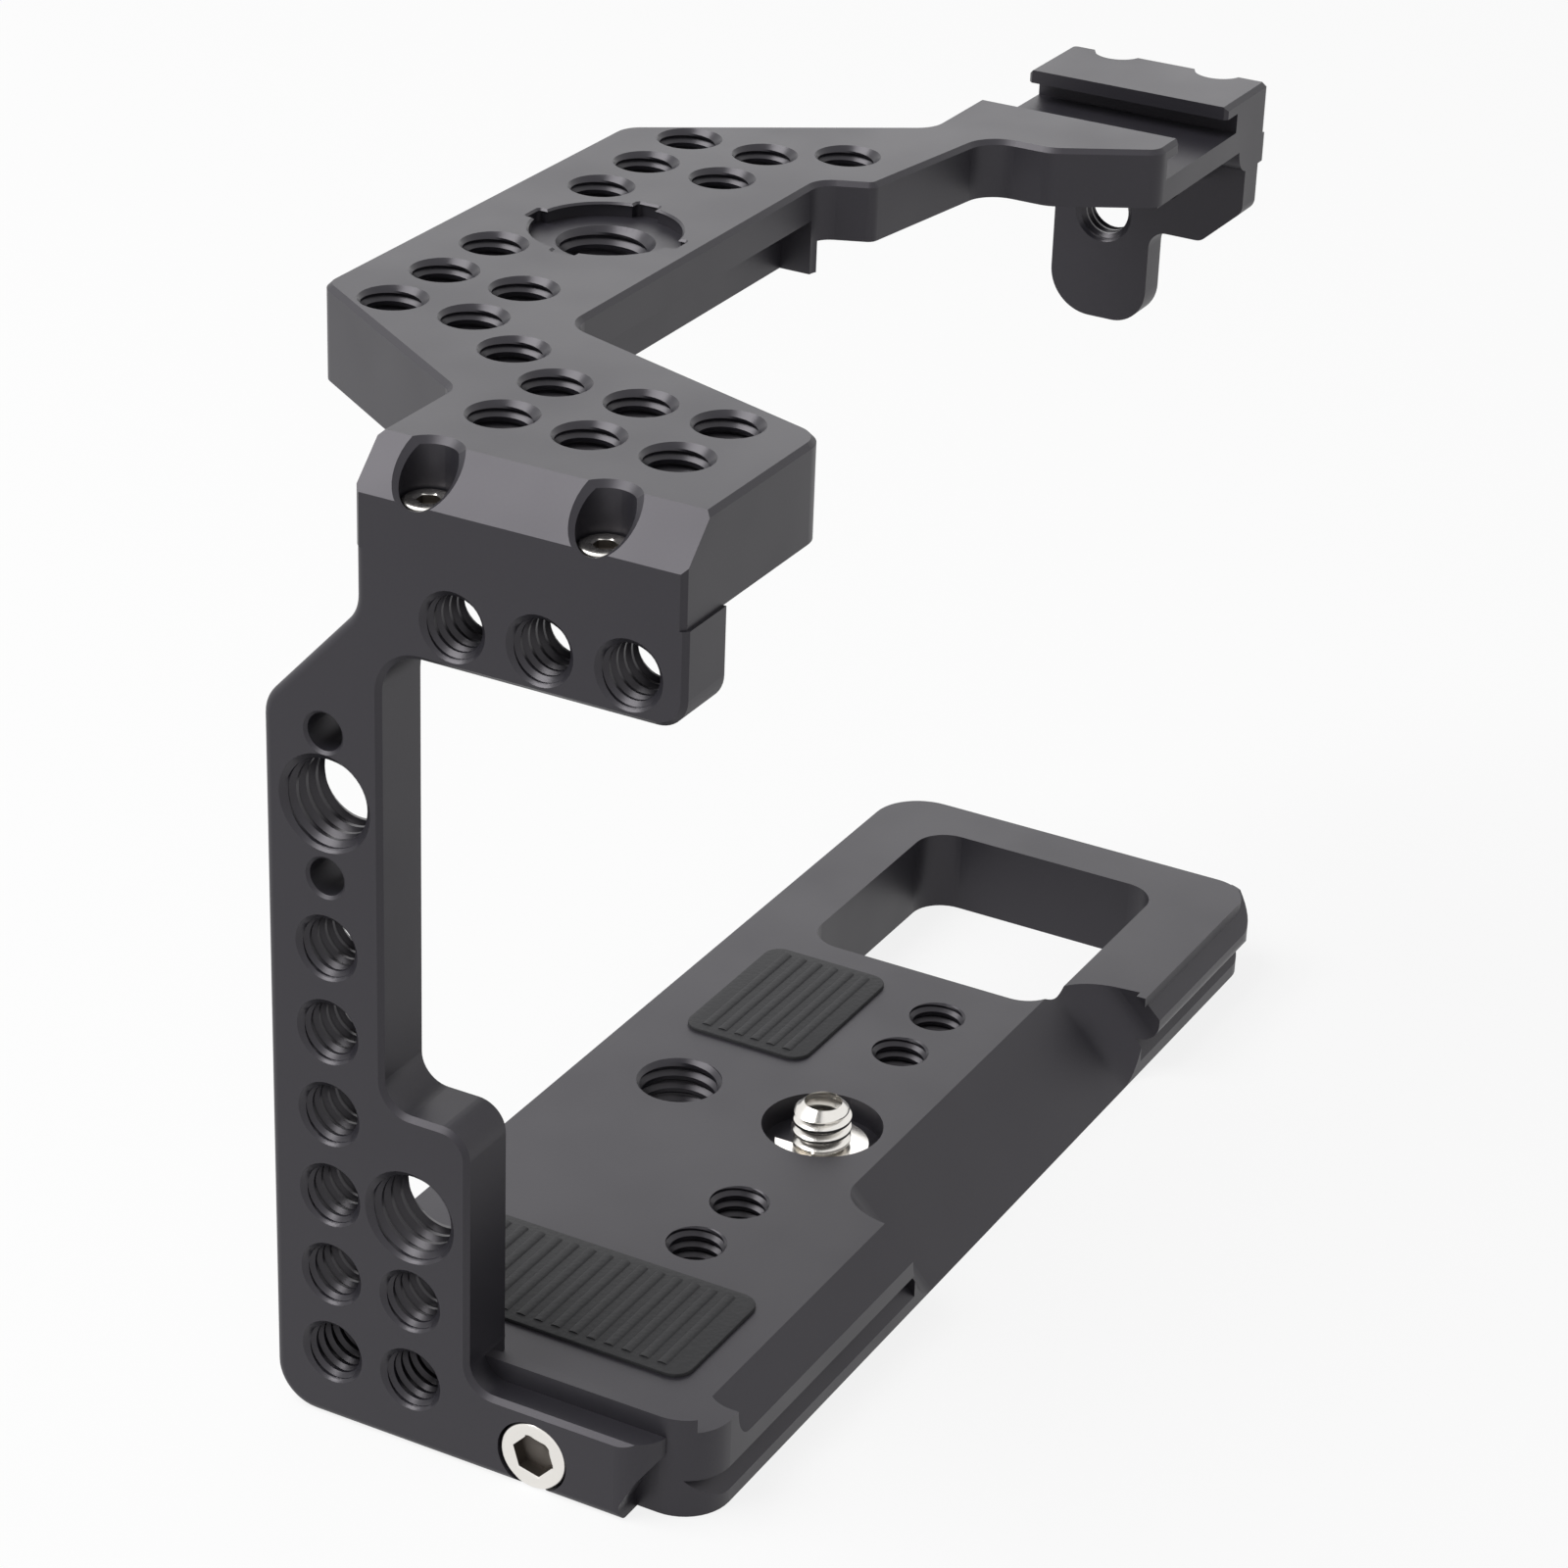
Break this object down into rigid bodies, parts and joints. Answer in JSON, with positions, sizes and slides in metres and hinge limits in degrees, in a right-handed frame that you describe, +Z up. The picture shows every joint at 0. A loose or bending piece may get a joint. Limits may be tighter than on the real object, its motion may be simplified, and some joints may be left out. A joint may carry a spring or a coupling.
{
  "type": "camera cage",
  "caption": "Open machined metal cage that bolts round a camera: base, side and top plates with threaded accessory holes, a cold shoe and a lug for a handle.",
  "frame": {"origin": "axis of the camera screw, on the underside of the base plate", "axes": "+X from the side plate towards the cold shoe, +Y from the operator towards the lens, +Z up"},
  "size_m": [0.1418, 0.0627, 0.1041],
  "materials": {
    "anodised_aluminium": "bead-blasted, black anodised",
    "plated_steel": "nickel-plated, satin",
    "black_steel": "black oxide",
    "rubber": "matt"
  },
  "bodies": {
    "cage": {"top_plate": "anodised_aluminium", "side_plate": "anodised_aluminium", "base_plate": "anodised_aluminium", "handle_lug": "anodised_aluminium", "top_joint_screws": "plated_steel", "top_joint_dowel": "plated_steel", "foot_screw": "plated_steel", "foot_dowels": "plated_steel", "lug_screws": "black_steel", "base_pad_left": "rubber", "base_pad_right": "rubber"},
    "screw_carrier": {"camera_screw_retainer": "plated_steel"},
    "screw": {"camera_screw": "plated_steel"},
    "ring": {"camera_screw_ring": "plated_steel"}
  },
  "joints": [
    {"name": "screw_lift", "type": "slide", "parent": "cage", "child": "screw_carrier", "axis": [0, 0, 1], "range_m": [0, 0.0022]},
    {"name": "screw_turn", "type": "hinge", "parent": "screw_carrier", "child": "screw", "pos_m": [0, 0, 0], "axis": [0, 0, 1], "continuous": true},
    {"name": "ring_fold", "type": "hinge", "parent": "screw", "child": "ring", "pos_m": [0, 0, 0.00126], "axis": [-1, 0, 0], "range_deg": [0, 90]}
  ]
}
